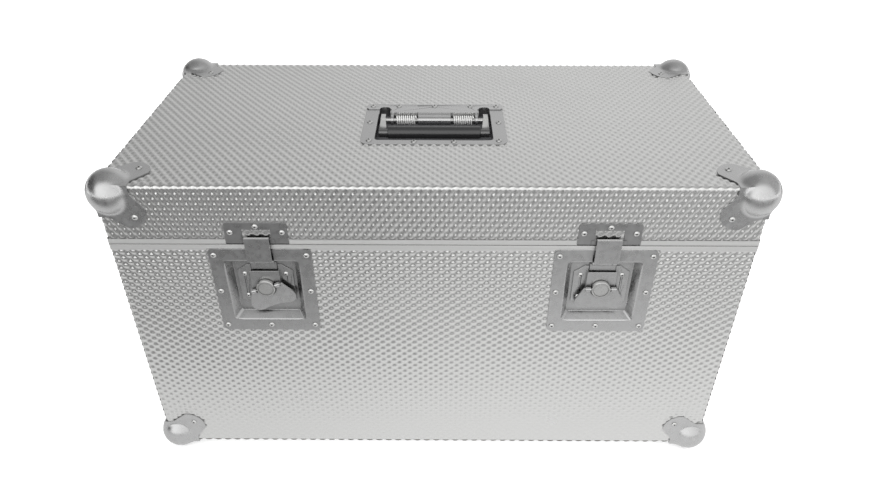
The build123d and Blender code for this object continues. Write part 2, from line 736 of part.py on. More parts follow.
notch_half = hook_width / 2 + notch_side_gap
for side, turn in key_turns.items():
    lift = latch_lift * turn / 180

    # Dish: pressed pan with a riveted flange, and a slot at its top where the hook goes up
    with BuildPart() as dish:
        with BuildSketch(latch_plane(side, case_face)):
            with Locations((0, -hub_above_dish)):
                RectangleRounded(dish_width, dish_height, dish_corner)
        extrude(amount=dish_sheet)
        pan(side, dish_sheet, -dish_sheet, case_face, Mode.ADD)
        slot_edges = (0, notch_top + dish_sheet)
        slot_x = notch_half + dish_sheet
        slab(latch_plane(side, -dish_sheet), (-slot_x, slot_x), slot_edges, flange_front)
        pan(side, 0, 0, flange_front, Mode.SUBTRACT)
        slab(latch_plane(side, 0), (-notch_half, notch_half), (0, notch_top), flange_front, Mode.SUBTRACT)
        drill(dish_rivets_at)
        drill(bracket_rivets_at, small_shank_r)
    dish.part.label = f"{side}_latch_dish"
    export_step(dish.part, f"parts/{side}_latch_dish.step")

    # Bracket: a hat of sheet riveted to the dish's floor, holding the drive plate in its channel
    channel_half = drive_width / 2 + channel_side_gap
    hat_half = channel_half + bracket_sheet
    with BuildPart() as bracket:
        with BuildSketch(latch_plane(side)):
            with BuildLine():
                Polyline(
                    (-bracket_width / 2, -bracket_bottom),
                    (bracket_width / 2, -bracket_bottom),
                    (bracket_width / 2, bracket_side_top),
                    (bracket_shoulder, bracket_top),
                    (-bracket_shoulder, bracket_top),
                    (-bracket_width / 2, bracket_side_top),
                    close=True,
                )
            make_face()
        extrude(amount=bracket_sheet)
        slab(latch_plane(side), (-hat_half, hat_half), (-bracket_bottom, channel_top), web_front)
        channel_edges = (-bracket_bottom, bracket_top)
        channel_deep = web_front - bracket_sheet
        slab(latch_plane(side), (-channel_half, channel_half), channel_edges, channel_deep, Mode.SUBTRACT)
        disc(latch_plane(side), spindle_r + running, web_front, mode=Mode.SUBTRACT)
        drill(bracket_rivets_at, small_shank_r)
    bracket.part.label = f"{side}_latch_bracket"
    export_step(bracket.part, f"parts/{side}_latch_bracket.step")

    # Crank: a disc riveted on the spindle's tail, with the pin that works the drive plate
    with BuildPart() as crank:
        disc(latch_plane(side, crank_back, turn), crank_r, crank_thick)
        pin_out = drive_back + plate_gap
        disc(latch_plane(side, pin_out, turn), crank_pin_r, crank_back - pin_out, (0, -crank_throw))
        disc(latch_plane(side, crank_back, turn), spindle_tail_r, crank_thick, mode=Mode.SUBTRACT)
    crank.part.label = f"{side}_latch_crank"
    export_step(crank.part, f"parts/{side}_latch_crank.step")

    # Hub: plain round head with a raised ring, on a stepped spindle, cross-drilled for the pin
    with BuildPart() as hub:
        disc(latch_plane(side, crank_back, turn), spindle_tail_r, crank_thick)
        disc(latch_plane(side, crank_front, turn), spindle_r, wing_back - crank_front)
        disc(latch_plane(side, wing_back, turn), hub_r, hub_height)
        head_edges = hub.edges().filter_by(GeomType.CIRCLE).sort_by(Axis.Y)[0]
        chamfer(head_edges, hub_chamfer)
        hollow_out = wing_back + hub_height - hub_hollow
        disc(latch_plane(side, hollow_out, turn), hub_r - hub_ring, hub_hollow, mode=Mode.SUBTRACT)
        axis_plane = Plane(latch_plane(side, wing_axis_out).origin, z_dir=latch_plane(side, turn=turn).x_dir)
        with BuildSketch(axis_plane):
            Circle(wing_pin_r)
        extrude(amount=2 * hub_r, both=True, mode=Mode.SUBTRACT)
    hub.part.label = f"{side}_latch_hub"
    export_step(hub.part, f"parts/{side}_latch_hub.step")

    # Wing: butterfly plate folded down over the bracket, with a knuckle at each side of the hub
    notch_r = hub_r + wing_notch_clear
    with BuildPart() as wing:
        with BuildSketch(latch_plane(side, wing_back, turn)):
            with BuildLine():
                rise = radians(20)
                dip = radians(-100)
                lobe_out = (wing_lobe_x + wing_lobe_r * cos(rise), -wing_lobe_z + wing_lobe_r * sin(rise))
                lobe_far = wing_lobe_r / sqrt(wing_lobe_x**2 + wing_lobe_z**2)
                lobe_mid = (wing_lobe_x * (1 + lobe_far), -wing_lobe_z * (1 + lobe_far))
                lobe_in = (wing_lobe_x + wing_lobe_r * cos(dip), -wing_lobe_z + wing_lobe_r * sin(dip))
                Line((-wing_ear_x, 0), (wing_ear_x, 0))
                Line((wing_ear_x, 0), lobe_out)
                ThreePointArc(lobe_out, lobe_mid, lobe_in)
                ThreePointArc(lobe_in, (0, -wing_waist), (-lobe_in[0], lobe_in[1]))
                left_in, left_mid, left_out = [(-x, y) for x, y in (lobe_in, lobe_mid, lobe_out)]
                ThreePointArc(left_in, left_mid, left_out)
                Line(left_out, (-wing_ear_x, 0))
            make_face()
        extrude(amount=wing_thick)
        with BuildSketch(axis_plane):
            Circle(wing_knuckle_r)
        extrude(amount=wing_ear_x - 1.5, both=True)
        disc(latch_plane(side, 0, turn), notch_r + 0.6, 2 * recess_depth, mode=Mode.SUBTRACT)
        slab(latch_plane(side, 0, turn), (-notch_r, notch_r), (0, notch_r), 2 * recess_depth, Mode.SUBTRACT)
        with BuildSketch(axis_plane):
            Circle(wing_pin_r + running)
        extrude(amount=2 * wing_ear_x, both=True, mode=Mode.SUBTRACT)
    wing.part.label = f"{side}_latch_wing"
    export_step(wing.part, f"parts/{side}_latch_wing.step")

    with BuildPart() as wing_pin:
        with BuildSketch(axis_plane):
            Circle(wing_pin_r)
        extrude(amount=wing_ear_x - 1.0, both=True)
    wing_pin.part.label = f"{side}_latch_wing_pin"
    export_step(wing_pin.part, f"parts/{side}_latch_wing_pin.step")

    # Drive plate: slides up the channel, with a cross slot for the crank's pin and two ears
    ear_out = hook_knuckle_width / 2 + hook_side_gap
    ear_edges = (ear_out, ear_out + hook_ear_width)
    hook_axis = latch_plane(side, hook_pin_out, up=hook_pin_up + lift)
    with BuildPart() as drive:
        half = drive_width / 2
        plane = latch_plane(side, drive_back, up=lift)
        slab(plane, (-half, half), (-drive_bottom, drive_top), drive_thick)
        for sx in (-1, 1):
            x_edges = sorted((sx * ear_edges[0], sx * ear_edges[1]))
            slab(plane, x_edges, (drive_top - 3, hook_pin_up), drive_thick)
            knuckle_edges = (hook_pin_up - hook_knuckle_r, hook_pin_up + hook_knuckle_r)
            slab(plane, x_edges, knuckle_edges, hook_pin_out - drive_back)
            with BuildSketch(Plane(hook_axis.origin, z_dir=(1, 0, 0)).offset(x_edges[0])):
                Circle(hook_knuckle_r)
            extrude(amount=hook_ear_width)
        with BuildSketch(Plane(hook_axis.origin, z_dir=(1, 0, 0))):
            Circle(hook_pin_r)
        extrude(amount=drive_width, both=True, mode=Mode.SUBTRACT)
        slot_half_x = crank_throw + crank_pin_r + 0.25
        slot_half_z = crank_pin_r + 0.21 * crank_throw + 0.15
        slot_z = (-crank_throw - slot_half_z, -crank_throw + slot_half_z)
        slab(plane, (-slot_half_x, slot_half_x), slot_z, drive_thick, Mode.SUBTRACT)
    drive.part.label = f"{side}_latch_drive_plate"
    export_step(drive.part, f"parts/{side}_latch_drive_plate.step")

    with BuildPart() as hook_pin:
        with BuildSketch(Plane(hook_axis.origin, z_dir=(1, 0, 0))):
            Circle(hook_pin_r)
        extrude(amount=ear_edges[1], both=True)
    hook_pin.part.label = f"{side}_latch_hook_pin"
    export_step(hook_pin.part, f"parts/{side}_latch_hook_pin.step")

    # Hook: a knuckle on the pin, a ramp out over the flange, a flat strap and a lip at its top
    profile_plane = Plane(
        origin=(latch_places[side], dish_floor_y, hub_z + lift), x_dir=(0, -1, 0), z_dir=(-1, 0, 0)
    )
    with BuildPart() as hook:
        with BuildSketch(profile_plane):
            with Locations((hook_pin_out, hook_pin_up)):
                Circle(hook_knuckle_r)
        extrude(amount=hook_knuckle_width / 2, both=True)
        outer = hook_inner + hook_thick
        strap_low = hook_pin_up + 6.0
        strap_outline = [
            (hook_pin_out + 0.6, hook_pin_up + hook_knuckle_r - 0.1),
            (hook_pin_out + hook_knuckle_r - 0.1, hook_pin_up + 0.4),
            (outer, strap_low - 1.2),
            (outer, hook_top),
            (hook_inner - hook_lip, hook_top),
            (hook_inner - hook_lip, lip_low),
            (hook_inner, lip_low),
            (hook_inner, strap_low),
        ]
        with BuildSketch(profile_plane):
            with BuildLine():
                Polyline(*strap_outline, close=True)
            make_face()
        extrude(amount=hook_width / 2, both=True)
        for sx in (-1, 1):
            x_edges = sorted((sx * (hook_knuckle_width / 2), sx * hook_width))
            clear_up = hook_pin_up + hook_knuckle_r + 1.6
            y_edges = (hook_pin_up - 4, clear_up)
            slab(latch_plane(side, up=lift), x_edges, y_edges, 2 * recess_depth, Mode.SUBTRACT)
        with BuildSketch(profile_plane):
            with Locations((hook_pin_out, hook_pin_up)):
                Circle(hook_pin_r + running)
        extrude(amount=hook_width, both=True, mode=Mode.SUBTRACT)
    hook.part.label = f"{side}_latch_hook"
    export_step(hook.part, f"parts/{side}_latch_hook.step")

    # Keeper: a plate on the lid with a window, its lower bar raised as a bead for the hook's lip
    with BuildPart() as keeper:
        face_plane = latch_plane(side, case_face)
        low = seam_up + keeper_bottom
        slab(face_plane, (-keeper_width / 2, keeper_width / 2), (low, low + keeper_height), keeper_sheet)
        fillet(keeper.edges().filter_by(Axis.Y).group_by(Axis.Z)[-1], 3.0)
        bead_edges = (low + 0.4, low + keeper_bar)
        bead_half = keeper_bead_width / 2
        slab(face_plane, (-bead_half, bead_half), bead_edges, keeper_sheet + keeper_bead)
        window_edges = (low + keeper_bar, low + keeper_bar + keeper_window_height)
        window_half = keeper_window_width / 2
        slab(face_plane, (-window_half, window_half), window_edges, 2 * keeper_sheet, Mode.SUBTRACT)
        drill(keeper_rivets_at)
    keeper.part.label = f"{side}_keeper"
    export_step(keeper.part, f"parts/{side}_keeper.step")

# Hinges: two stamped leaves with interleaved knuckles on a pin, behind the back face
knuckle_length = hinge_width / hinge_knuckles
leaf_front = rim_face_y
leaf_back = rim_face_y + hinge_leaf


def hinge_leaf_part(x, side):
    """A leaf at x; side -1 hangs below the seam and holds the even knuckles and the pin."""
    far = seam_z + side * hinge_leaf_height
    near = seam_z + side * (hinge_knuckle_r - 0.5)
    owns = [n for n in range(hinge_knuckles) if (n % 2 == 0) == (side < 0)]
    bore = hinge_pin_r if side < 0 else hinge_pin_r + running
    with BuildPart() as leaf:
        z_edges = sorted((far, near))
        block((x - hinge_width / 2, leaf_front, z_edges[0]), (x + hinge_width / 2, leaf_back, z_edges[1]))
        z_edges = sorted((far, seam_z + side * (base_rim_face + 1.0)))
        block((x - hinge_width / 2, back_y, z_edges[0]), (x + hinge_width / 2, leaf_back, z_edges[1]))
        for n in range(hinge_knuckles):
            low_x = x - hinge_width / 2 + n * knuckle_length
            if n in owns:
                start = low_x + (hinge_knuckle_gap / 2 if n > 0 else 0)
                end = low_x + knuckle_length - (hinge_knuckle_gap / 2 if n < hinge_knuckles - 1 else 0)
                z_edges = sorted((near, seam_z))
                block((start, leaf_front, z_edges[0]), (end, leaf_back, z_edges[1]))
                with BuildSketch(Plane((start, hinge_axis_y, seam_z), z_dir=(1, 0, 0))):
                    Circle(hinge_knuckle_r)
                extrude(amount=end - start)
            else:
                clear = hinge_knuckle_r + 0.5
                z_edges = sorted((seam_z - side, seam_z + side * clear))
                block(
                    (low_x - 0.01, leaf_front - 1, z_edges[0]),
                    (low_x + knuckle_length + 0.01, leaf_back + 1, z_edges[1]),
                    Mode.SUBTRACT,
                )
        with BuildSketch(Plane((x, hinge_axis_y, seam_z), z_dir=(1, 0, 0))):
            Circle(bore)
        extrude(amount=hinge_width, both=True, mode=Mode.SUBTRACT)
        drill(base_hinge_rivets_at if side < 0 else lid_hinge_rivets_at)
    return leaf.part


for name, x in (("left", -hinge_x), ("right", hinge_x)):
    for half_name, side in (("base", -1), ("lid", 1)):
        leaf_piece = hinge_leaf_part(x, side)
        leaf_piece.label = f"{half_name}_hinge_leaf_{name}"
        export_step(leaf_piece, f"parts/{leaf_piece.label}.step")

with BuildPart() as hinge_pins:
    for x in (-hinge_x, hinge_x):
        with BuildSketch(Plane((x, hinge_axis_y, seam_z), z_dir=(1, 0, 0))):
            Circle(hinge_pin_r)
        extrude(amount=hinge_width / 2 + 0.5, both=True)
hinge_pins.part.label = "hinge_pins"
export_step(hinge_pins.part, "parts/hinge_pins.step")

# Handle dish: a flange on the lid's top and a well below it
handle_pin_z = top_z - handle_pin_below
with BuildPart() as handle_dish:
    with BuildSketch(Plane.XY.offset(top_z)):
        with Locations((0, (handle_front + handle_back) / 2)):
            RectangleRounded(handle_width, handle_back - handle_front, handle_corner)
    extrude(amount=handle_sheet)
    extrude(well_sketch(Plane.XY.offset(well_floor_z - handle_sheet), handle_sheet), amount=well_depth)
    extrude(well_sketch(Plane.XY.offset(well_floor_z), 0), amount=2 * well_depth, mode=Mode.SUBTRACT)
    drill(handle_strip_rivets_at + handle_flange_rivets_at)
handle_dish.part.label = "handle_dish"
export_step(handle_dish.part, "parts/handle_dish.step")

# Hinge strip: a plate over the flange's back, bent down the well's rear wall, with lugs
leg_back = well_back
leg_front = well_back - handle_sheet
with BuildPart() as handle_strip:
    strip_middle = (handle_strip_front + handle_back) / 2
    with BuildSketch(Plane.XY.offset(dish_flange_z)):
        with Locations((0, strip_middle)):
            RectangleRounded(handle_width, handle_back - handle_strip_front, handle_corner / 2)
        with Locations((0, (leg_front + handle_strip_front + 6) / 2)):
            Rectangle(strip_leg_width, handle_strip_front + 6 - leg_front)
    extrude(amount=handle_sheet)
    half_leg = strip_leg_width / 2
    block((-half_leg, leg_front, strip_z - strip_leg_depth), (half_leg, leg_back, strip_z))
    lug_spans = [
        (-centre_lug_width / 2, centre_lug_width / 2),
        (-end_lug_x - end_lug_width / 2, -end_lug_x + end_lug_width / 2),
        (end_lug_x - end_lug_width / 2, end_lug_x + end_lug_width / 2),
    ]
    for low_x, high_x in lug_spans:
        block((low_x, handle_pin_y, handle_pin_z - lug_r), (high_x, leg_front, handle_pin_z + lug_r))
        with BuildSketch(Plane((low_x, handle_pin_y, handle_pin_z), z_dir=(1, 0, 0))):
            Circle(lug_r)
        extrude(amount=high_x - low_x)
    with BuildSketch(Plane((0, handle_pin_y, handle_pin_z), z_dir=(1, 0, 0))):
        Circle(handle_pin_r)
    extrude(amount=strip_leg_width, both=True, mode=Mode.SUBTRACT)
    pocket_r = ear_pocket_width / 2
    for sx in (-1, 1):
        with BuildSketch(Plane.XY.offset(dish_flange_z)):
            with Locations((sx * arm_x, ear_pocket_back - pocket_r)):
                Circle(pocket_r)
            with Locations((sx * arm_x, ear_pocket_back / 2 - pocket_r)):
                Rectangle(2 * pocket_r, ear_pocket_back)
        extrude(amount=handle_sheet, mode=Mode.SUBTRACT)
    drill(handle_strip_rivets_at)
handle_strip.part.label = "handle_hinge_strip"
export_step(handle_strip.part, "parts/handle_hinge_strip.step")

with BuildPart() as handle_pin:
    with BuildSketch(Plane((0, handle_pin_y, handle_pin_z), z_dir=(1, 0, 0))):
        Circle(handle_pin_r)
    extrude(amount=arm_x + arm_width / 2 + 0.4, both=True)
handle_pin.part.label = "handle_pin"
export_step(handle_pin.part, "parts/handle_pin.step")


# Springs: two close coils on the pin, each one unbroken wire with a straight leg at both ends
def coil_point(angle, start_x):
    """A point on the coil's centre line and its direction there."""
    y = handle_pin_y + spring_coil_r * cos(angle)
    z = handle_pin_z + spring_coil_r * sin(angle)
    direction = Vector(spring_pitch / (2 * pi), -spring_coil_r * sin(angle), spring_coil_r * cos(angle))
    return Vector(start_x + spring_pitch * angle / (2 * pi), y, z), direction.normalized()


def spring_wire(start_x):
    """Half-turn biarcs along the coil, a quarter more at the end, and a tangent leg at each end."""
    angles = [pi * n for n in range(2 * spring_turns + 1)] + [2 * pi * spring_turns + pi / 2]
    stations = [coil_point(angle, start_x) for angle in angles]
    first, first_way = stations[0]
    last, last_way = stations[-1]
    with BuildLine() as path:
        Line(first - first_way * spring_low_leg, first)
        for (a, way_a), (b, way_b) in zip(stations[:-1], stations[1:]):
            chord = b - a
            turn = 2 * (1 - way_a.dot(way_b))
            run = chord.dot(way_a + way_b)
            reach = (sqrt(run * run + turn * chord.dot(chord)) - run) / turn
            joint = (a + b) * 0.5 + (way_a - way_b) * (reach / 2)
            second = (b - joint).normalized()
            TangentArc(a, joint, tangent=way_a)
            TangentArc(joint, b, tangent=second * (2 * way_b.dot(second)) - way_b)
        Line(last, last + last_way * spring_top_leg)
    return path.line


coil_gap = spring_pitch - 2 * spring_wire_r
print("least gap between a spring's turns:", round(coil_gap, 3))
spring_span = spring_turns * spring_pitch
spring_room_low = centre_lug_width / 2
spring_room_high = end_lug_x - end_lug_width / 2
spring_middle = (spring_room_low + spring_room_high) / 2
with BuildPart() as springs:
    for x in (-spring_middle, spring_middle):
        coil = spring_wire(x - spring_span / 2)
        with BuildSketch(Plane(coil @ 0, z_dir=coil % 0)):
            Circle(spring_wire_r)
        sweep(path=coil)
springs.part.label = "handle_springs"
export_step(springs.part, "parts/handle_springs.step")

# Bail: two arms that taper to their tails, and the bar between them
with BuildPart() as bail:
    tail_y = handle_pin_y + arm_tail
    side_plane = Plane(origin=(0, 0, handle_pin_z), x_dir=(0, 1, 0), z_dir=(1, 0, 0))
    for sx in (-1, 1):
        with BuildSketch(side_plane.offset(sx * arm_x)):
            with Locations(((grip_y + handle_pin_y) / 2, 0)):
                Rectangle(handle_pin_y - grip_y, arm_height)
            with Locations((grip_y, 0)):
                Circle(arm_height / 2 + 1.0)
            with Locations(((handle_pin_y + tail_y) / 2 - arm_tail_height / 2, 0)):
                Rectangle(arm_tail, arm_tail_height)
            with Locations((tail_y - arm_tail_height / 2, 0)):
                Circle(arm_tail_height / 2)
        extrude(amount=arm_width / 2, both=True)
    with BuildSketch(Plane.XY.offset(handle_pin_z - 2 * arm_height)):
        for sx in (-1, 1):
            outer_edge = sx * (arm_x + arm_width / 2)
            with BuildLine():
                Polyline(
                    (outer_edge, grip_y - arm_height),
                    (outer_edge, tail_y),
                    (outer_edge - sx * arm_tail_width, tail_y),
                    (outer_edge - sx * arm_tail_width, handle_pin_y),
                    (outer_edge - sx * arm_width, grip_y + grip_r),
                    (outer_edge - sx * arm_width, grip_y - arm_height),
                    close=True,
                )
            make_face()
    extrude(amount=4 * arm_height, mode=Mode.INTERSECT)
    with BuildSketch(Plane((0, grip_y, handle_pin_z), z_dir=(1, 0, 0))):
        Circle(grip_bar_r)
    extrude(amount=arm_x, both=True)
    with BuildSketch(Plane((0, handle_pin_y, handle_pin_z), z_dir=(1, 0, 0))):
        Circle(handle_pin_r + running)
    extrude(amount=2 * arm_x, both=True, mode=Mode.SUBTRACT)
bail.part.label = "handle_bail"
export_step(bail.part, "parts/handle_bail.step")

with BuildPart() as grip:
    with BuildSketch(Plane((0, grip_y, handle_pin_z), x_dir=(0, 1, 0), z_dir=(1, 0, 0))):
        Circle(grip_r)
        Circle(grip_bar_r, mode=Mode.SUBTRACT)
    extrude(amount=grip_length / 2, both=True)
grip.part.label = "handle_grip"
export_step(grip.part, "parts/handle_grip.step")
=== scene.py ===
import json
import math

import bmesh
import bpy
import numpy as np
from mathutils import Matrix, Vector


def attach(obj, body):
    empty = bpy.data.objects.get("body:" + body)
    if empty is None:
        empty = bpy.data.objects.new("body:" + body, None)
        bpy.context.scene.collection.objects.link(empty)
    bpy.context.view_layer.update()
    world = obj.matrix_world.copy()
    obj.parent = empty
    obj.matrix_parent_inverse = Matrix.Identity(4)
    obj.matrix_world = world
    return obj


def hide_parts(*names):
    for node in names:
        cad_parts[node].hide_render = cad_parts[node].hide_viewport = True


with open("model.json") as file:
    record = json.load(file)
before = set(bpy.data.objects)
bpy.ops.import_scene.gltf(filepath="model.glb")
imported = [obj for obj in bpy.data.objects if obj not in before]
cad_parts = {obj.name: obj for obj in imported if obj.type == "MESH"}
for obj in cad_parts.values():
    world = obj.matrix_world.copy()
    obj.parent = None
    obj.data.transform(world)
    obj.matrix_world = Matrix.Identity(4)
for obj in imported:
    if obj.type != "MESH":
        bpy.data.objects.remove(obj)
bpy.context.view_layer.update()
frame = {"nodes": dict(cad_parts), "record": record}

# The camera stands close in front of the case, above its lid, and looks down on it.
# The lens is short, so the base narrows strongly towards the table.
camera_place = (0.0086, -0.7186, 0.6805)
camera_down = 34.571
camera_turn = 0.374
camera_lens = 28.71
camera_film = 36.0

camera_data = bpy.data.cameras.new("camera")
camera_data.lens = camera_lens
camera_data.sensor_width = camera_film
camera = bpy.data.objects.new("camera", camera_data)
camera.location = camera_place
camera.rotation_euler = (math.radians(90 - camera_down), 0, math.radians(camera_turn))
bpy.context.scene.collection.objects.link(camera)
bpy.context.scene.camera = camera

# A white table under soft light, as for a catalogue picture. A wide window stands in front, the
# ceiling is dim, the back is a calm grey, and a lamp that metal doesn't mirror whitens the table.
# The spans are counted along a direction one long, x to the right and y to the back.
table_half = 60.0
table_colour = (0.93, 0.93, 0.93)
table_roughness = 0.9
table_glow = 0.35
window_levels = (1.3, 1.0)
window_x = (-0.7, 0.7)
window_y = (-0.22, -0.58)
ceiling_levels = (0.30, 0.50)
ceiling_x = (-0.5, 0.5)
ceiling_y = (0.86, 0.55)
back_levels = (0.46, 0.72)
back_x = (-0.7, 0.2)
far_left_level = 0.10
far_left_x = (-0.64, -0.90)
table_lamp = 2.2
table_lamp_spread = 120
white = (1, 1, 1, 1)
none_to_all = (0.0, 1.0)

scene = bpy.context.scene
scene.view_settings.view_transform = "Standard"
scene.view_settings.look = "None"


def add_node(tree, kind, values=None, **settings):
    """A shader node with its settings, and its sockets' values by name."""
    node = tree.nodes.new(kind)
    for key, value in settings.items():
        setattr(node, key, value)
    for key, value in (values or {}).items():
        node.inputs[key].default_value = value
    return node


world = bpy.data.worlds.new("studio")
world.use_nodes = True
scene.world = world
studio = world.node_tree
direction = add_node(studio, "ShaderNodeTexCoord")
split = add_node(studio, "ShaderNodeSeparateXYZ")
studio.links.new(direction.outputs["Generated"], split.inputs[0])


def studio_range(axis, span, levels):
    """A smooth change of the light along one axis of the studio."""
    node = add_node(
        studio,
        "ShaderNodeMapRange",
        {"From Min": span[0], "From Max": span[1], "To Min": levels[0], "To Max": levels[1]},
        interpolation_type="SMOOTHSTEP",
    )
    studio.links.new(split.outputs[axis], node.inputs["Value"])
    return node.outputs[0]


def studio_mix(factor, first, second):
    """The light that goes over from one level to another with a factor."""
    mix = add_node(studio, "ShaderNodeMix")
    studio.links.new(factor, mix.inputs["Factor"])
    for level, socket in ((first, mix.inputs["A"]), (second, mix.inputs["B"])):
        if isinstance(level, float):
            socket.default_value = level
        else:
            studio.links.new(level, socket)
    return mix.outputs[0]


behind = studio_range("X", back_x, back_levels)
ceiling = studio_range("X", ceiling_x, ceiling_levels)
over = studio_mix(studio_range("Y", ceiling_y, none_to_all), behind, ceiling)
window = studio_range("X", window_x, window_levels)
light = studio_mix(studio_range("Y", window_y, none_to_all), over, window)
light = studio_mix(studio_range("X", far_left_x, none_to_all), light, far_left_level)
studio.links.new(light, studio.nodes["Background"].inputs["Strength"])
studio.nodes["Background"].inputs["Color"].default_value = white

lamp_data = bpy.data.lights.new("table_lamp", "SUN")
lamp_data.energy = table_lamp
lamp_data.angle = math.radians(table_lamp_spread)
lamp = bpy.data.objects.new("table_lamp", lamp_data)
lamp.visible_glossy = False
scene.collection.objects.link(lamp)


def finish_of(name, colour, metallic, roughness):
    """A material, with its tree, its shader and its object coordinates."""
    material = bpy.data.materials.new(name)
    material.use_nodes = True
    tree = material.node_tree
    shader = tree.nodes["Principled BSDF"]
    shader.inputs["Base Color"].default_value = (*colour, 1)
    shader.inputs["Metallic"].default_value = metallic
    shader.inputs["Roughness"].default_value = roughness
    where = add_node(tree, "ShaderNodeTexCoord").outputs["Object"]
    return material, tree, shader, where


def flat_board(name, half, z):
    """A level square, which stays where it is when the case moves."""
    bm = bmesh.new()
    bmesh.ops.create_grid(bm, x_segments=1, y_segments=1, size=half)
    bmesh.ops.translate(bm, vec=(0, 0, z), verts=bm.verts)
    mesh = bpy.data.meshes.new(name)
    bm.to_mesh(mesh)
    bm.free()
    board = bpy.data.objects.new(name, mesh)
    scene.collection.objects.link(board)
    return board


table = flat_board("table", table_half, 0.0)
table_white, tree, shader, where = finish_of("table_white", table_colour, 0.0, table_roughness)
shader.inputs["Emission Color"].default_value = white
shader.inputs["Emission Strength"].default_value = table_glow
table.data.materials.append(table_white)

# A grey card lies round the case, out of the camera's sight, and only shows as the darker
# reflection in the upright metal. It is paler close to the case and towards the right.
card_half = 3.0
card_height = 0.001
card_turn_x = (-0.42, 0.15)
card_reach = 0.8
# How far from the middle, and how bright there on the left and on the right
card_levels = (
    (0.25, 0.70, 0.80),
    (0.34, 0.61, 0.76),
    (0.48, 0.31, 0.56),
    (0.62, 0.22, 0.36),
    (0.80, 0.18, 0.33),
)
card = flat_board("grey_card", card_half, card_height)
card_material, tree, shader, where = finish_of("card_grey", (0, 0, 0), 0.0, 1.0)
split = add_node(tree, "ShaderNodeSeparateXYZ")
tree.links.new(where, split.inputs[0])
across_card = add_node(
    tree,
    "ShaderNodeMapRange",
    {"From Min": card_turn_x[0], "From Max": card_turn_x[1]},
    interpolation_type="SMOOTHSTEP",
)
tree.links.new(split.outputs["X"], across_card.inputs["Value"])
depth = add_node(tree, "ShaderNodeMath", operation="ABSOLUTE")
tree.links.new(split.outputs["Y"], depth.inputs[0])
away = add_node(tree, "ShaderNodeMapRange", {"From Min": 0.0, "From Max": card_reach})
tree.links.new(depth.outputs[0], away.inputs["Value"])
card_light = add_node(tree, "ShaderNodeMix", data_type="RGBA")
tree.links.new(across_card.outputs[0], card_light.inputs["Factor"])
for side, socket in ((1, "A"), (2, "B")):
    fall = add_node(tree, "ShaderNodeValToRGB")
    stops = fall.color_ramp.elements
    while len(stops) < len(card_levels):
        stops.new(0.5)
    for stop, level in zip(stops, card_levels):
        stop.position = level[0] / card_reach
        stop.color = (level[side], level[side], level[side], 1)
    tree.links.new(away.outputs[0], fall.inputs["Fac"])
    tree.links.new(fall.outputs["Color"], card_light.inputs[socket])
shader.inputs["Emission Color"].default_value = white
tree.links.new(card_light.outputs["Result"], shader.inputs["Emission Strength"])
card.data.materials.append(card_material)
card.visible_camera = False
card.visible_shadow = False
card.visible_diffuse = False

# The walls are boards of birch plywood, glued together at the corners of the base and of the
# lid. The face grain runs along each board.
ply_colour = (0.70, 0.54, 0.36)
ply_dark = (0.58, 0.42, 0.26)
ply_pale = (0.78, 0.63, 0.44)
ply_roughness = 0.6
ply_grain = ((6, 60, 160), 1.0, 6.0)
ply_relief = (0.2, 0.0002)
most_of_noise = (0.3, 0.7)


def streaked(tree, where, stretch, scale, detail=3.0, roughness=0.5):
    """A noise drawn out along one way of the piece."""
    mapping = add_node(tree, "ShaderNodeMapping", {"Scale": stretch})
    tree.links.new(where, mapping.inputs["Vector"])
    noise = add_node(
        tree, "ShaderNodeTexNoise", {"Scale": scale, "Detail": detail, "Roughness": roughness}
    )
    tree.links.new(mapping.outputs[0], noise.inputs["Vector"])
    return noise.outputs["Fac"]


def tinted(tree, shader, value, dark, pale, between=most_of_noise):
    """A colour that follows a pattern between two tones."""
    node = add_node(
        tree, "ShaderNodeMapRange", {"From Min": between[0], "From Max": between[1]}
    )
    mix = add_node(tree, "ShaderNodeMix", data_type="RGBA")
    mix.inputs["A"].default_value = (*dark, 1)
    mix.inputs["B"].default_value = (*pale, 1)
    tree.links.new(value, node.inputs["Value"])
    tree.links.new(node.outputs[0], mix.inputs["Factor"])
    tree.links.new(mix.outputs["Result"], shader.inputs["Base Color"])


def bumped(tree, shader, value, strength, distance):
    """A fine relief from a pattern, with its strength and its depth in metres."""
    bump = add_node(tree, "ShaderNodeBump", {"Strength": strength, "Distance": distance})
    tree.links.new(value, bump.inputs["Height"])
    tree.links.new(bump.outputs[0], shader.inputs["Normal"])


ply, tree, shader, where = finish_of("plywood", ply_colour, 0.0, ply_roughness)
board_grain = streaked(tree, where, *ply_grain)
tinted(tree, shader, board_grain, ply_dark, ply_pale)
bumped(tree, shader, board_grain, *ply_relief)
for node in sorted(frame["nodes"]):
    if "_panel_" in node:
        board = frame["nodes"][node]
        board.data.materials.clear()
        board.data.materials.append(ply)

# The case is clad in thin aluminium sheet, embossed with staggered oval dots and bent over
# the edges of the plywood. The lid's sheet is cut the other way of the roll than the base's.
# It is glued down, and its edges are held under the profiles, dishes and ball corners.
dot_height = 0.00105
dot_long = 0.00435
dot_short = 0.00295
dot_fullness = 2.4
steps_long = 8
steps_short = 6
end_margin = 0.2
bend = 0.002
bend_run = bend * math.pi / 2
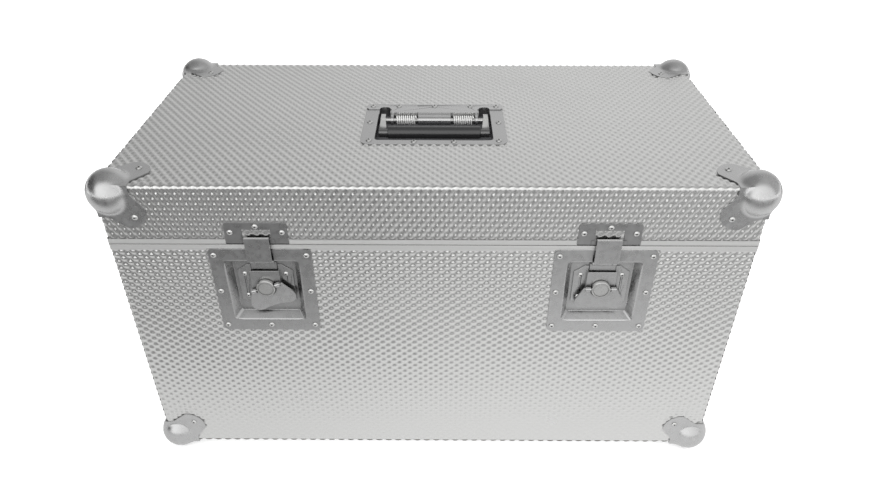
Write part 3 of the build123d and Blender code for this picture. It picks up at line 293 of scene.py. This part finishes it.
# The angle of a bend that two faces share, half each, and of one that a face has to itself
shared = 45
whole = 90
case_x = 0.3149
case_y = 0.1589
case_top = 0.3609
case_bottom = 0.0111
base_sheet_end = 0.29405
lid_sheet_end = 0.30095
base_pitch = (0.0114, 0.0085)
lid_pitch = (0.0087, 0.0112)
base_first = (-0.3051, 0.2874)
lid_first = (0.0, 0.3562)
top_first = (0.0, lid_first[1] - case_top - case_y + 2 * bend - bend_run)
latch_x = 0.170
latch_cut_z = 0.23985
latch_cut_half = 0.046
handle_cut = (0.0, -0.023, 0.066, 0.043)
lip_z = 0.3051
lip_half = (0.0135, 0.003)
lip_pressed = 0.5
sheet_colour = (0.82, 0.82, 0.81)
sheet_roughness = (0.2, 0.28)
even = (1, 1, 1)
dull_patches = (even, 9.0, 4.0, 0.6)
rolled_grain = (even, 1400.0, 2.0)
sheet_relief = (0.12, 0.0001)
sheet_painted_shade = (0.003, 0.5)
shade_samples = 6


def ranged(tree, value, low, high, socket, between=most_of_noise):
    """A socket that follows a pattern between two values."""
    node = add_node(
        tree,
        "ShaderNodeMapRange",
        {"From Min": between[0], "From Max": between[1], "To Min": low, "To Max": high},
    )
    tree.links.new(value, node.inputs["Value"])
    tree.links.new(node.outputs[0], socket)


def paint_near_shade(tree, shader, reach, share, depth=1.0):
    """Paints shade into the metal's colour where another piece stands within a reach, as in gaps,
    hollows and under parts.
    """
    # painted shade: ambient occlusion darkens the base colour near other surfaces
    free = add_node(
        tree, "ShaderNodeAmbientOcclusion", {"Distance": reach}, samples=shade_samples
    )
    deepen = add_node(tree, "ShaderNodeMath", {1: depth}, operation="POWER")
    tree.links.new(free.outputs["AO"], deepen.inputs[0])
    mix = add_node(
        tree, "ShaderNodeMix", {"Factor": share}, data_type="RGBA", blend_type="MULTIPLY"
    )
    colour = shader.inputs["Base Color"]
    if colour.is_linked:
        tree.links.new(colour.links[0].from_socket, mix.inputs["A"])
    else:
        mix.inputs["A"].default_value = colour.default_value
    tree.links.new(deepen.outputs[0], mix.inputs["B"])
    tree.links.new(mix.outputs["Result"], colour)


embossed, tree, shader, where = finish_of("embossed_aluminium", sheet_colour, 1.0, 0.3)
patches = streaked(tree, where, *dull_patches)
ranged(tree, patches, *sheet_roughness, shader.inputs["Roughness"])
rolled = streaked(tree, where, *rolled_grain)
bumped(tree, shader, rolled, *sheet_relief)
# Painted shade darkens the sheet between its dots and under the edges of the fittings.
paint_near_shade(tree, shader, *sheet_painted_shade)


def grid_lines(low, high, pitch, first, parts):
    """Lines across a sheet, a whole number of them to each row of dots, and its two ends. None
    comes nearer to an end than a margin, which is a share of the step."""
    step = pitch / parts
    start = math.ceil((low - first) / step + end_margin)
    stop = math.floor((high - first) / step - end_margin)
    return np.array([low, *(first + step * k for k in range(start, stop + 1)), high])


def nearest(lines, place):
    """The lines that points of a grid from -1 to 1 lie on."""
    return lines[np.rint((place + 1) / 2 * (len(lines) - 1)).astype(int)]


def turned(along, low, high, low_bend, high_bend):
    """How far a line lies round the bend at its end: the flat part's place and the angle."""
    flat = np.clip(along, low + bend if low_bend else low, high - bend if high_bend else high)
    return flat, (along - flat) / bend


def pressed_sheet(name, body, node, base, across, up, x_span, y_span, bends, pitch, first,
                  cuts=(), lips=()):
    """One embossed face of the case. bends are the angles at its left, right, low and high ends.
    The dots are pressed lower at the lips, where a hook is drawn against the sheet."""
    across, up = Vector(across), Vector(up)
    out = across.cross(up)
    ends = []
    for (low, high), (low_bend, high_bend) in ((x_span, bends[:2]), (y_span, bends[2:])):
        start = low + bend - bend * math.radians(low_bend) if low_bend else low
        stop = high - bend + bend * math.radians(high_bend) if high_bend else high
        ends.append((start, stop))
    lies_across = pitch[0] > pitch[1]
    parts = (steps_long, steps_short) if lies_across else (steps_short, steps_long)
    reach = (dot_long, dot_short) if lies_across else (dot_short, dot_long)
    columns = grid_lines(*ends[0], pitch[0], first[0], parts[0])
    rows = grid_lines(*ends[1], pitch[1], first[1], parts[1])
    bm = bmesh.new()
    bmesh.ops.create_grid(bm, x_segments=len(columns) - 1, y_segments=len(rows) - 1, size=1.0)
    hidden = []
    for face in bm.faces if cuts else ():
        middle = face.calc_center_median()
        x = columns[int((middle.x + 1) / 2 * (len(columns) - 1))]
        y = rows[int((middle.y + 1) / 2 * (len(rows) - 1))]
        if any(abs(x - cx) < half_x and abs(y - cy) < half_y for cx, cy, half_x, half_y in cuts):
            hidden.append(face)
    bmesh.ops.delete(bm, geom=hidden, context="FACES")
    mesh = bpy.data.meshes.new(name)
    bm.to_mesh(mesh)
    bm.free()
    place = np.empty(len(mesh.vertices) * 3, np.float32)
    mesh.vertices.foreach_get("co", place)
    place = place.reshape(-1, 3)
    u = nearest(columns, place[:, 0])
    v = nearest(rows, place[:, 1])
    raised = np.zeros_like(u)
    for shift in (0.0, 0.5):
        a = (u - first[0]) / pitch[0] - shift
        b = (v - first[1]) / pitch[1] - shift
        du = (a - np.rint(a)) * pitch[0] / reach[0]
        dv = (b - np.rint(b)) * pitch[1] / reach[1]
        raised += np.clip(1 - np.hypot(du, dv) ** dot_fullness, 0, 1)
    raised *= dot_height
    for cx, cy in lips:
        under = (abs(u - cx) < lip_half[0]) & (abs(v - cy) < lip_half[1])
        raised[under] *= lip_pressed
    flat_u, angle_u = turned(u, *x_span, *bends[:2])
    flat_v, angle_v = turned(v, *y_span, *bends[2:])
    off_u = flat_u + (bend + raised) * np.sin(angle_u)
    off_v = flat_v + (bend + raised) * np.sin(angle_v)
    off_n = (bend + raised) * np.cos(angle_u) * np.cos(angle_v) - bend
    points = np.outer(off_u, across) + np.outer(off_v, up) + np.outer(off_n, out) + np.array(base)
    mesh.vertices.foreach_set("co", points.astype(np.float32).ravel())
    mesh.update()
    mesh.shade_smooth()
    mesh.materials.append(embossed)
    sheet = bpy.data.objects.new(name, mesh)
    scene.collection.objects.link(sheet)
    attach(sheet, body)
    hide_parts(node)


latch_cuts = [(x, latch_cut_z, latch_cut_half, latch_cut_half) for x in (-latch_x, latch_x)]
hook_lips = [(x, lip_z) for x in (-latch_x, latch_x)]
x_span = (-case_x, case_x)
y_span = (-case_y, case_y)
base_rise = (case_bottom + bend, base_sheet_end)
base_side_rise = (case_bottom, base_sheet_end)
lid_rise = (lid_sheet_end, case_top - bend)
lid_side_rise = (lid_sheet_end, case_top)
right, left, back, up = (1, 0, 0), (-1, 0, 0), (0, 1, 0), (0, 0, 1)
front = (0, -1, 0)
upright = (shared, shared, 0, 0)
base_side = (shared, shared, shared, 0)
lid_side = (shared, shared, 0, shared)
level = (shared, shared, whole, whole)
base_dots = (base_pitch, base_first)
lid_dots = (lid_pitch, lid_first)
for side, place, across, span, rises, folds in (
    ("front", (0, -case_y, 0), right, x_span, (base_rise, lid_rise), (upright, upright)),
    ("back", (0, case_y, 0), left, x_span, (base_rise, lid_rise), (upright, upright)),
    ("left", (-case_x, 0, 0), front, y_span, (base_side_rise, lid_side_rise),
     (base_side, lid_side)),
    ("right", (case_x, 0, 0), back, y_span, (base_side_rise, lid_side_rise),
     (base_side, lid_side)),
):
    in_front = side == "front"
    pressed_sheet(f"base_sheet_{side}", "base", "base_skin", place, across, up, span, rises[0],
                  folds[0], *base_dots, cuts=latch_cuts if in_front else ())
    pressed_sheet(f"lid_sheet_{side}", "lid", "lid_skin", place, across, up, span, rises[1],
                  folds[1], *lid_dots, lips=hook_lips if in_front else ())
pressed_sheet("base_sheet_bottom", "base", "base_skin", (0, 0, case_bottom), right, front,
              x_span, y_span, level, *base_dots)
pressed_sheet("lid_sheet_top", "lid", "lid_skin", (0, 0, case_top), right, back,
              x_span, y_span, level, lid_pitch, top_first, cuts=[handle_cut])

# The two mouths are closed by extruded aluminium profiles with mitred corners. The die leaves
# fine lines along them, and handling dulls the faces in long patches.
profile_dark = (0.80, 0.80, 0.79)
profile_pale = (0.90, 0.90, 0.89)
profile_roughness = (0.36, 0.5)
profile_metallic = 0.93
die_grain = ((4, 4, 2600), 1.0)
die_relief = (0.25, 0.00006)
seam_painted_shade = (0.002, 1.0, 4.0)
profile, tree, shader, where = finish_of(
    "extruded_aluminium", profile_dark, profile_metallic, 0.3
)
die_lines = streaked(tree, where, *die_grain)
ranged(tree, die_lines, *profile_roughness, shader.inputs["Roughness"])
tinted(tree, shader, die_lines, profile_dark, profile_pale)
bumped(tree, shader, die_lines, *die_relief)
# Painted shade darkens the profiles in the seam between lid and base.
paint_near_shade(tree, shader, *seam_painted_shade)

body_of = {
    node: body
    for body, group in frame["record"]["behaviour"]["bodies"].items()
    for node in group
}
same_place = 0.000002
flat_angle = 0.5
sharp_angle = 40
square_angle = 85
hard_shading = 32.0
round_shading = 40.0


def worked(node, material, edge, smooth_below=hard_shading, shortest=0.0, cut_share=1.0):
    """A copy of a solid with its sharp edges broken, as tumbling and wear leave them. A piece
    with a shortest length has only its longer edges rounded, where the press has drawn it, and
    its square cut edges and inner corners get a share of that."""
    bm = bmesh.new()
    bm.from_mesh(frame["nodes"][node].data)
    bmesh.ops.remove_doubles(bm, verts=bm.verts, dist=same_place)
    bmesh.ops.dissolve_limit(
        bm, angle_limit=math.radians(flat_angle), verts=bm.verts, edges=bm.edges
    )
    # Large faces with many corners can shade wrongly, so they are cut into triangles.
    bmesh.ops.triangulate(bm, faces=[face for face in bm.faces if len(face.verts) > 4])
    broken = bm.edges.layers.float.new("bevel_weight_edge")
    for line in bm.edges:
        if line.is_manifold and line.calc_length() > shortest:
            angle = math.degrees(line.calc_face_angle())
            drawn = line.is_convex and angle < square_angle
            if angle > sharp_angle:
                line[broken] = 1.0 if drawn else cut_share
    mesh = bpy.data.meshes.new(node + "_worked")
    bm.to_mesh(mesh)
    bm.free()
    for leftover in ("custom_normal", "sharp_face", "sharp_edge"):
        if leftover in mesh.attributes:
            mesh.attributes.remove(mesh.attributes[leftover])
    mesh.shade_smooth()
    mesh.set_sharp_from_angle(angle=math.radians(smooth_below))
    mesh.materials.clear()
    mesh.materials.append(material)
    piece = bpy.data.objects.new(node + "_worked", mesh)
    scene.collection.objects.link(piece)
    if edge:
        rounding = piece.modifiers.new("broken_edges", "BEVEL")
        rounding.limit_method = "WEIGHT"
        rounding.width = edge
        rounding.segments = 2
        rounding.harden_normals = True
        rounding.use_clamp_overlap = shortest == 0
    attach(piece, body_of[node])
    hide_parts(node)


for node in ("base_rim", "lid_rim"):
    worked(node, profile, 0)

# Eight ball corners cap the case. Each is pressed from steel sheet, zinc plated, and riveted
# through its three petals. The plating is satin, a little cloudy, with fine scratches from use.
ball_tone = 0.62
ball_roughness = 0.27
ball_edge = 0.0003
plating_cloud = (even, 160.0, 5.0)
cloud_contrast = 0.05
cloud_roughness = (-0.05, 0.07)
scratch_grain = ((60, 900, 300), 1.0, 6.0)
scratch_relief = (0.15, 0.00005)
plating_shade_reach = 0.004
plating_shade_share = 0.7


def plated_steel(name, tone, rough, reach=plating_shade_reach):
    """Zinc plating of a lighter or darker tone, with painted shade darkening it within a reach of
    its neighbours.
    """
    material, tree, shader, where = finish_of(name, (tone, tone, tone), 1.0, rough)
    cloud = streaked(tree, where, *plating_cloud)
    low, high = (rough + change for change in cloud_roughness)
    ranged(tree, cloud, low, high, shader.inputs["Roughness"])
    dark, pale = tone * (1 - cloud_contrast), tone * (1 + cloud_contrast)
    tinted(tree, shader, cloud, [dark] * 3, [pale] * 3)
    scratches = streaked(tree, where, *scratch_grain)
    bumped(tree, shader, scratches, *scratch_relief)
    # Painted shade: the colour darkens where neighbouring pieces stand close.
    paint_near_shade(tree, shader, reach, plating_shade_share)
    return material


ball_plated = plated_steel("ball_plated_steel", ball_tone, ball_roughness)
for node in sorted(frame["nodes"]):
    if "_corner_" in node:
        worked(node, ball_plated, ball_edge)

# Each latch sits in a dish that is drawn from plated steel sheet and riveted to the front. A
# bracket on its floor holds the drive plate, the crank lifts it, and the wing turns the crank.
# The hook rides on the drive plate and catches the keeper, a punched plate on the lid.
# Painted light and shade: the same plating is toned darker on the left latch than on the right, and
# the wings get tones of their own, left lighter than right, for how the light fell on each.
latch_tone_shaded_by_side = {"left": 0.50, "right": 0.60}
wing_tone_lit_by_side = {"left": 0.63, "right": 0.58}
keeper_tone = 0.46
keeper_roughness = 0.3
latch_roughness = 0.28
# The dishes' painted shade reaches farther, darkening their floors and walls under the wing and
# hook.
dish_shade_reach = 0.009
drawn_radius = 0.0014
drawn_shortest = 0.01
dish_cut_share = 0.36
keeper_edge = 0.00025
strap_edge = 0.0003
wing_edge = 0.001
keeper_plated = plated_steel("dark_plated_steel", keeper_tone, keeper_roughness)
for side in ("left", "right"):
    tone = latch_tone_shaded_by_side[side]
    latch_plated = plated_steel(f"{side}_latch_plating", tone, latch_roughness)
    dish_plated = plated_steel(f"{side}_dish_plating", tone, latch_roughness, dish_shade_reach)
    wing_plated = plated_steel(f"{side}_wing_plating", wing_tone_lit_by_side[side], latch_roughness)
    worked(f"{side}_latch_dish", dish_plated, drawn_radius, shortest=drawn_shortest,
           cut_share=dish_cut_share)
    worked(f"{side}_latch_bracket", latch_plated, strap_edge)
    worked(f"{side}_latch_drive_plate", latch_plated, 0)
    worked(f"{side}_latch_crank", latch_plated, 0)
    worked(f"{side}_latch_wing", wing_plated, wing_edge)
    worked(f"{side}_latch_hook", latch_plated, strap_edge)
    worked(f"{side}_keeper", keeper_plated, keeper_edge)

# The hook and the wing of each latch turn on pins of drawn steel wire, cut to length and
# pushed through their knuckles.
wire_colour = (0.72, 0.72, 0.71)
wire_roughness = (0.2, 0.34)
wire_grain = (even, 900.0)
wire, tree, shader, where = finish_of("drawn_wire", wire_colour, 1.0, 0.2)
drawn = streaked(tree, where, *wire_grain)
ranged(tree, drawn, *wire_roughness, shader.inputs["Roughness"])
for side in ("left", "right"):
    worked(f"{side}_latch_hook_pin", wire, 0, round_shading)
    worked(f"{side}_latch_wing_pin", wire, 0, round_shading)

# Each latch turns on a round steel hub. Its head is turned on a lathe, which leaves rings and
# a shallow hollow inside the rim, and its spindle goes through the bracket to the crank.
hub_z = 0.24255
hub_colour = (0.66, 0.66, 0.65)
hub_roughness = (0.24, 0.4)
hub_edge = 0.0002
lathe_rings = {"Scale": 900.0, "Distortion": 0.6, "Detail": 2.0}
ring_relief = (0.3, 0.00004)
hub_painted_shade = (0.002, 1.0, 2.5)
for side, x in (("left", -latch_x), ("right", latch_x)):
    turned_steel, tree, shader, where = finish_of(f"{side}_turned_steel", hub_colour, 1.0, 0.3)
    centred = add_node(tree, "ShaderNodeMapping", {"Location": (-x, 0, -hub_z)})
    tree.links.new(where, centred.inputs["Vector"])
    rings = add_node(
        tree, "ShaderNodeTexWave", lathe_rings, wave_type="RINGS", rings_direction="Y"
    )
    tree.links.new(centred.outputs[0], rings.inputs["Vector"])
    ranged(tree, rings.outputs["Fac"], *hub_roughness, shader.inputs["Roughness"], (0, 1))
    bumped(tree, shader, rings.outputs["Fac"], *ring_relief)
    # Painted shade darkens the hub round its rim and in its hollow.
    paint_near_shade(tree, shader, *hub_painted_shade)
    worked(f"{side}_latch_hub", turned_steel, hub_edge)

# The handle lies in a dish that is drawn from plated sheet and riveted into the lid. A strip
# along its rear edge, from the same steel, holds the handle's pin in three lugs.
handle_dish_tone = 0.57
handle_dish_roughness = 0.28
handle_dish_edge = 0.0005
leaf_tone = 0.64
leaf_roughness = 0.26
leaf_edge = 0.0003
handle_plated = plated_steel("dull_plated_steel", handle_dish_tone, handle_dish_roughness)
leaf_plated = plated_steel("plated_steel", leaf_tone, leaf_roughness)
worked("handle_dish", handle_plated, handle_dish_edge, shortest=drawn_shortest)
worked("handle_hinge_strip", leaf_plated, leaf_edge)

# The handle's bail is bent from steel rod and turns on a pin, with a coil spring at each end
# that lays it down. Its colour is painted darker towards the front, under the grip, as shade in the
# well.
spring_colour = (0.95, 0.95, 0.94)
spring_metallic = 0.45
spring_roughness = (0.3, 0.42)
bail_dark = (0.22, 0.22, 0.22)
bail_pale = (0.74, 0.74, 0.73)
bail_shade_y = (-0.029, -0.024)
bail_roughness = (0.3, 0.45)
worked("handle_pin", wire, 0, round_shading)
bright_wire, tree, shader, where = finish_of(
    "bright_wire", spring_colour, spring_metallic, 0.35
)
drawn = streaked(tree, where, *wire_grain)
ranged(tree, drawn, *spring_roughness, shader.inputs["Roughness"])
worked("handle_springs", bright_wire, 0, round_shading)
bail_rod, tree, shader, where = finish_of("bail_rod", wire_colour, 1.0, 0.35)
split = add_node(tree, "ShaderNodeSeparateXYZ")
tree.links.new(where, split.inputs[0])
# Painted shade: the rod darkens towards the front, down in the well under the grip.
tinted(tree, shader, split.outputs["Y"], bail_dark, bail_pale, bail_shade_y)
drawn = streaked(tree, where, *wire_grain)
ranged(tree, drawn, *bail_roughness, shader.inputs["Roughness"])
worked("handle_bail", bail_rod, 0, round_shading)

# The grip is moulded in hard black plastic over the bail's bar, with a fine grain that hands
# have polished.
grip_colour = (0.008, 0.008, 0.009)
grip_roughness = (0.26, 0.38)
grip_shine = 1.9
grip_grain = (even, 1500.0, 2.0)
grip_relief = (0.3, 0.00008)
grip_edge = 0.0008
black, tree, shader, where = finish_of("grip_black", grip_colour, 0.0, 0.3)
shader.inputs["IOR"].default_value = grip_shine
skin_grain = streaked(tree, where, *grip_grain)
ranged(tree, skin_grain, *grip_roughness, shader.inputs["Roughness"])
bumped(tree, shader, skin_grain, *grip_relief)
worked("handle_grip", black, grip_edge)

# The lid hangs on two hinges at the back. Their leaves are stamped from plated sheet, rolled
# round a wire pin and riveted to the base and to the lid.
for side in ("left", "right"):
    worked(f"base_hinge_leaf_{side}", leaf_plated, leaf_edge)
    worked(f"lid_hinge_leaf_{side}", leaf_plated, leaf_edge)
worked("hinge_pins", wire, 0, round_shading)

# Steel rivets hold all the fittings. They are set from outside, and the mandrel leaves a small
# hollow in each head, which painted shade darkens.
rivet_colour = (0.80, 0.80, 0.79)
rivet_roughness = (0.2, 0.36)
rivet_spots = (even, 700.0)
rivet_painted_shade = (0.0014, 0.9, 2.0)
rivet_metal, tree, shader, where = finish_of("rivet_steel", rivet_colour, 1.0, 0.25)
spots = streaked(tree, where, *rivet_spots)
ranged(tree, spots, *rivet_roughness, shader.inputs["Roughness"])
# Painted shade darkens each head's hollow and its edge against the plate.
paint_near_shade(tree, shader, *rivet_painted_shade)
for node in ("base_rivets", "lid_rivets", "latch_bracket_rivets"):
    worked(node, rivet_metal, 0, round_shading)

# The lining is soft charcoal foam, cut in slabs and glued to the boards: a floor pad and four
# wall pads in the base, and a pad with moulded peaks in the lid that holds things down.
foam_colour = (0.06, 0.06, 0.065)
foam_dark = (0.035, 0.035, 0.038)
foam_pale = (0.10, 0.10, 0.105)
foam_roughness = 0.95
foam_cells = 900.0
cell_between = (0.1, 0.7)
cell_relief = (0.7, 0.0006)
pad_x, pad_y = 0.3069, 0.1509
pad_wall = 0.015
pad_edge = 0.003
floor_low, floor_high = 0.0191, 0.0391
wall_low, wall_high = 0.0394, 0.28775
# Room between the front board and its pad, for the backs of the latch dishes
front_gap = 0.002
lid_pad_low, lid_pad_high = 0.3279, 0.3529
base_step = 0.02
lid_step = 0.004
peak = 0.006
peak_pitch = 0.025
peak_share = 0.4
peak_fade = 0.02
foam, tree, shader, where = finish_of("charcoal_foam", foam_colour, 0.0, foam_roughness)
cells = add_node(tree, "ShaderNodeTexVoronoi", {"Scale": foam_cells})
tree.links.new(where, cells.inputs["Vector"])
tinted(tree, shader, cells.outputs["Distance"], foam_dark, foam_pale, cell_between)
bumped(tree, shader, cells.outputs["Distance"], *cell_relief)


def foam_pad(name, body, node, low, high, step, wave=0.0):
    """A slab of foam with soft edges; wave gives its underside moulded peaks."""
    low, high = Vector(low), Vector(high)
    size = high - low
    bm = bmesh.new()
    bmesh.ops.create_cube(bm, size=1.0)
    bmesh.ops.scale(bm, vec=size, verts=bm.verts)
    bmesh.ops.translate(bm, vec=(low + high) / 2, verts=bm.verts)
    for axis in range(3):
        normal = Vector((0, 0, 0))
        normal[axis] = 1.0
        cuts = max(int(size[axis] / step), 3)
        for k in range(1, cuts):
            place = Vector(low)
            place[axis] += size[axis] * k / cuts
            bmesh.ops.bisect_plane(
                bm, geom=bm.verts[:] + bm.edges[:] + bm.faces[:], plane_co=place, plane_no=normal
            )
    for vert in bm.verts:
        inner = Vector([
            min(max(vert.co[i], low[i] + pad_edge), high[i] - pad_edge) for i in range(3)
        ])
        away = vert.co - inner
        if away.length > pad_edge:
            vert.co = inner + away.normalized() * pad_edge
        if wave and vert.co.z < low.z + size.z * peak_share:
            x, y = vert.co.x, vert.co.y
            edge = min(x - low.x, high.x - x, y - low.y, high.y - y)
            fade = min(max(edge / peak_fade, 0.0), 1.0)
            swell = math.sin(x * math.tau / peak_pitch)
            swell *= math.sin(y * math.tau / peak_pitch)
            vert.co.z += wave * (1 - swell) * fade
    bmesh.ops.recalc_face_normals(bm, faces=bm.faces)
    mesh = bpy.data.meshes.new(name)
    bm.to_mesh(mesh)
    bm.free()
    mesh.shade_smooth()
    mesh.materials.append(foam)
    pad = bpy.data.objects.new(name, mesh)
    scene.collection.objects.link(pad)
    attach(pad, body)
    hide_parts(node)


for name, low, high in (
    ("base_foam_floor", (-pad_x, -pad_y, floor_low), (pad_x, pad_y, floor_high)),
    ("base_foam_front", (-pad_x, -pad_y + front_gap, wall_low),
     (pad_x, -pad_y + pad_wall, wall_high)),
    ("base_foam_back", (-pad_x, pad_y - pad_wall, wall_low), (pad_x, pad_y, wall_high)),
    ("base_foam_left", (-pad_x, -pad_y + pad_wall, wall_low),
     (-pad_x + pad_wall, pad_y - pad_wall, wall_high)),
    ("base_foam_right", (pad_x - pad_wall, -pad_y + pad_wall, wall_low),
     (pad_x, pad_y - pad_wall, wall_high)),
):
    foam_pad(name, "base", "base_foam", low, high, base_step)
foam_pad("lid_foam_peaks", "lid", "lid_foam", (-pad_x, -pad_y, lid_pad_low),
         (pad_x, pad_y, lid_pad_high), lid_step, peak)

bpy.context.view_layer.update()
